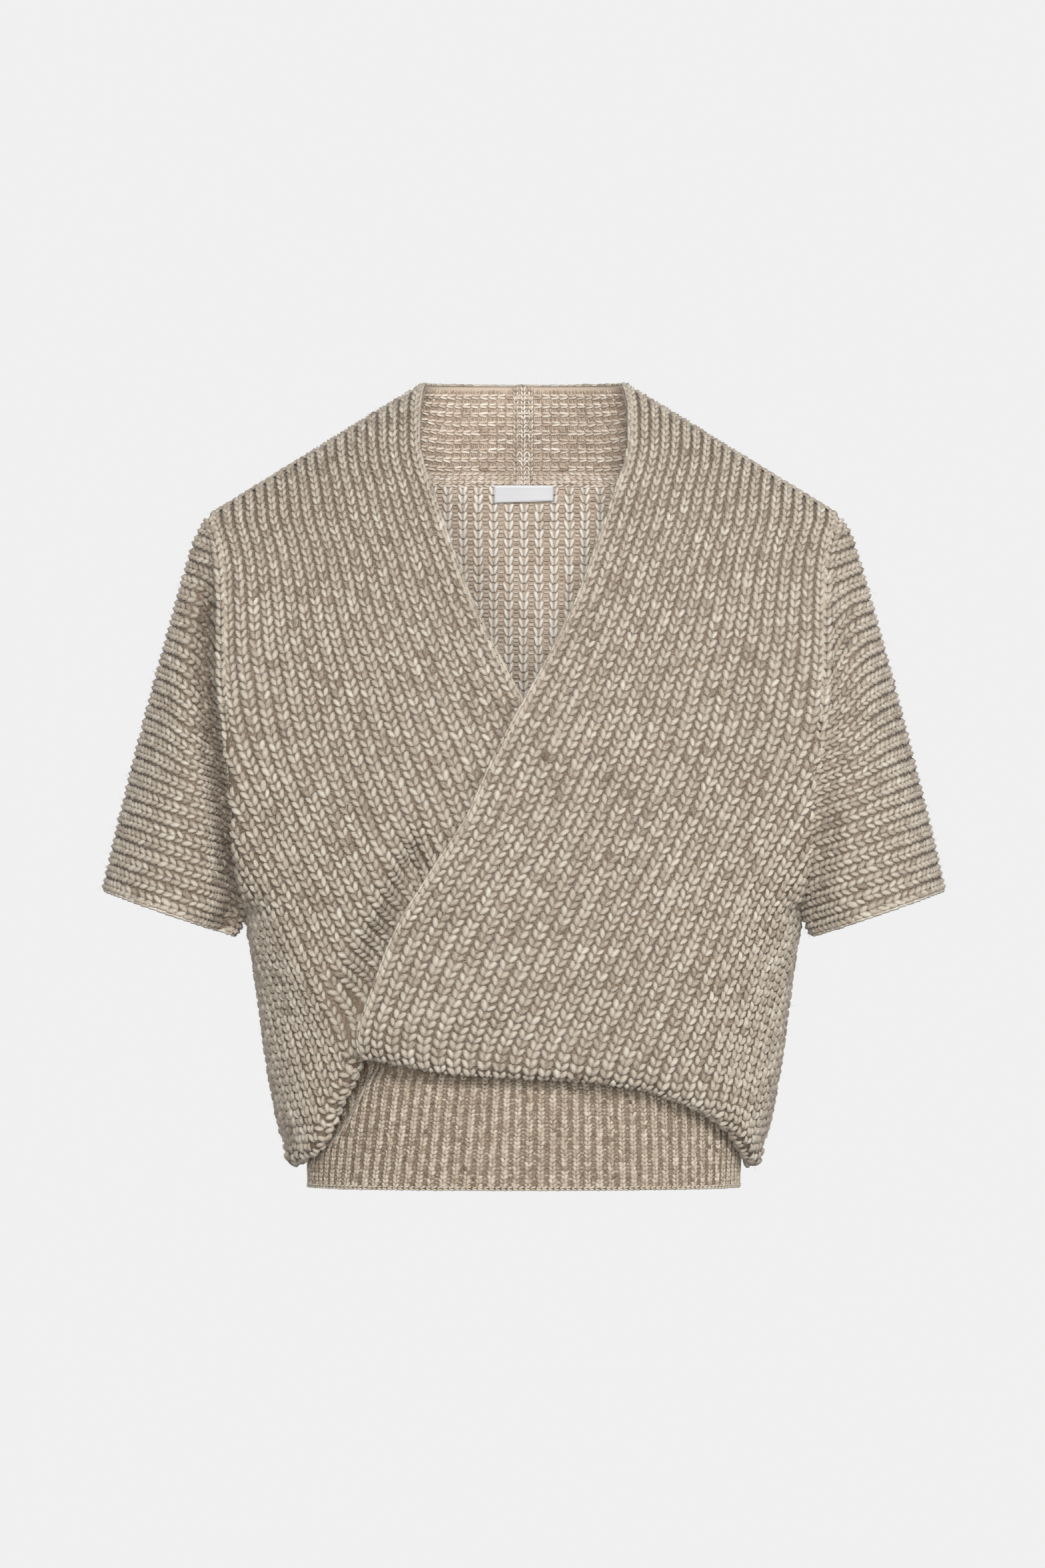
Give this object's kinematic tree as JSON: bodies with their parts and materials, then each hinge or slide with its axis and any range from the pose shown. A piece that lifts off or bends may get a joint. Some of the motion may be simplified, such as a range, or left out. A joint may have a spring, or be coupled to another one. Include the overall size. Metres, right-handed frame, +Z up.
{
  "type": "short-sleeved wrap sweater",
  "caption": "Worn V-neck wrap sweater in chunky rib with wide short sleeves, a blouse fold over a ribbed waistband and an open neck.",
  "frame": {"origin": "between the shoulders at the side of the neck, in the plane of the shoulder seams, where the wearer carries the garment", "axes": "+X to the wearer's left, +Y to the wearer's back, +Z up"},
  "size_m": [0.6052, 0.2356, 0.579],
  "materials": {
    "rib_knit": "matt heather beige wool, chunky half-fisherman rib with a light halo",
    "fine_rib": "matt heather taupe wool, fine upright rib",
    "label_tape": "smooth bare white woven tape"
  },
  "bodies": {
    "root": {"back": "rib_knit", "front_right": "rib_knit", "front_left": "rib_knit", "sleeve_right": "rib_knit", "sleeve_left": "rib_knit", "waistband": "fine_rib", "label": "label_tape"}
  },
  "joints": []
}
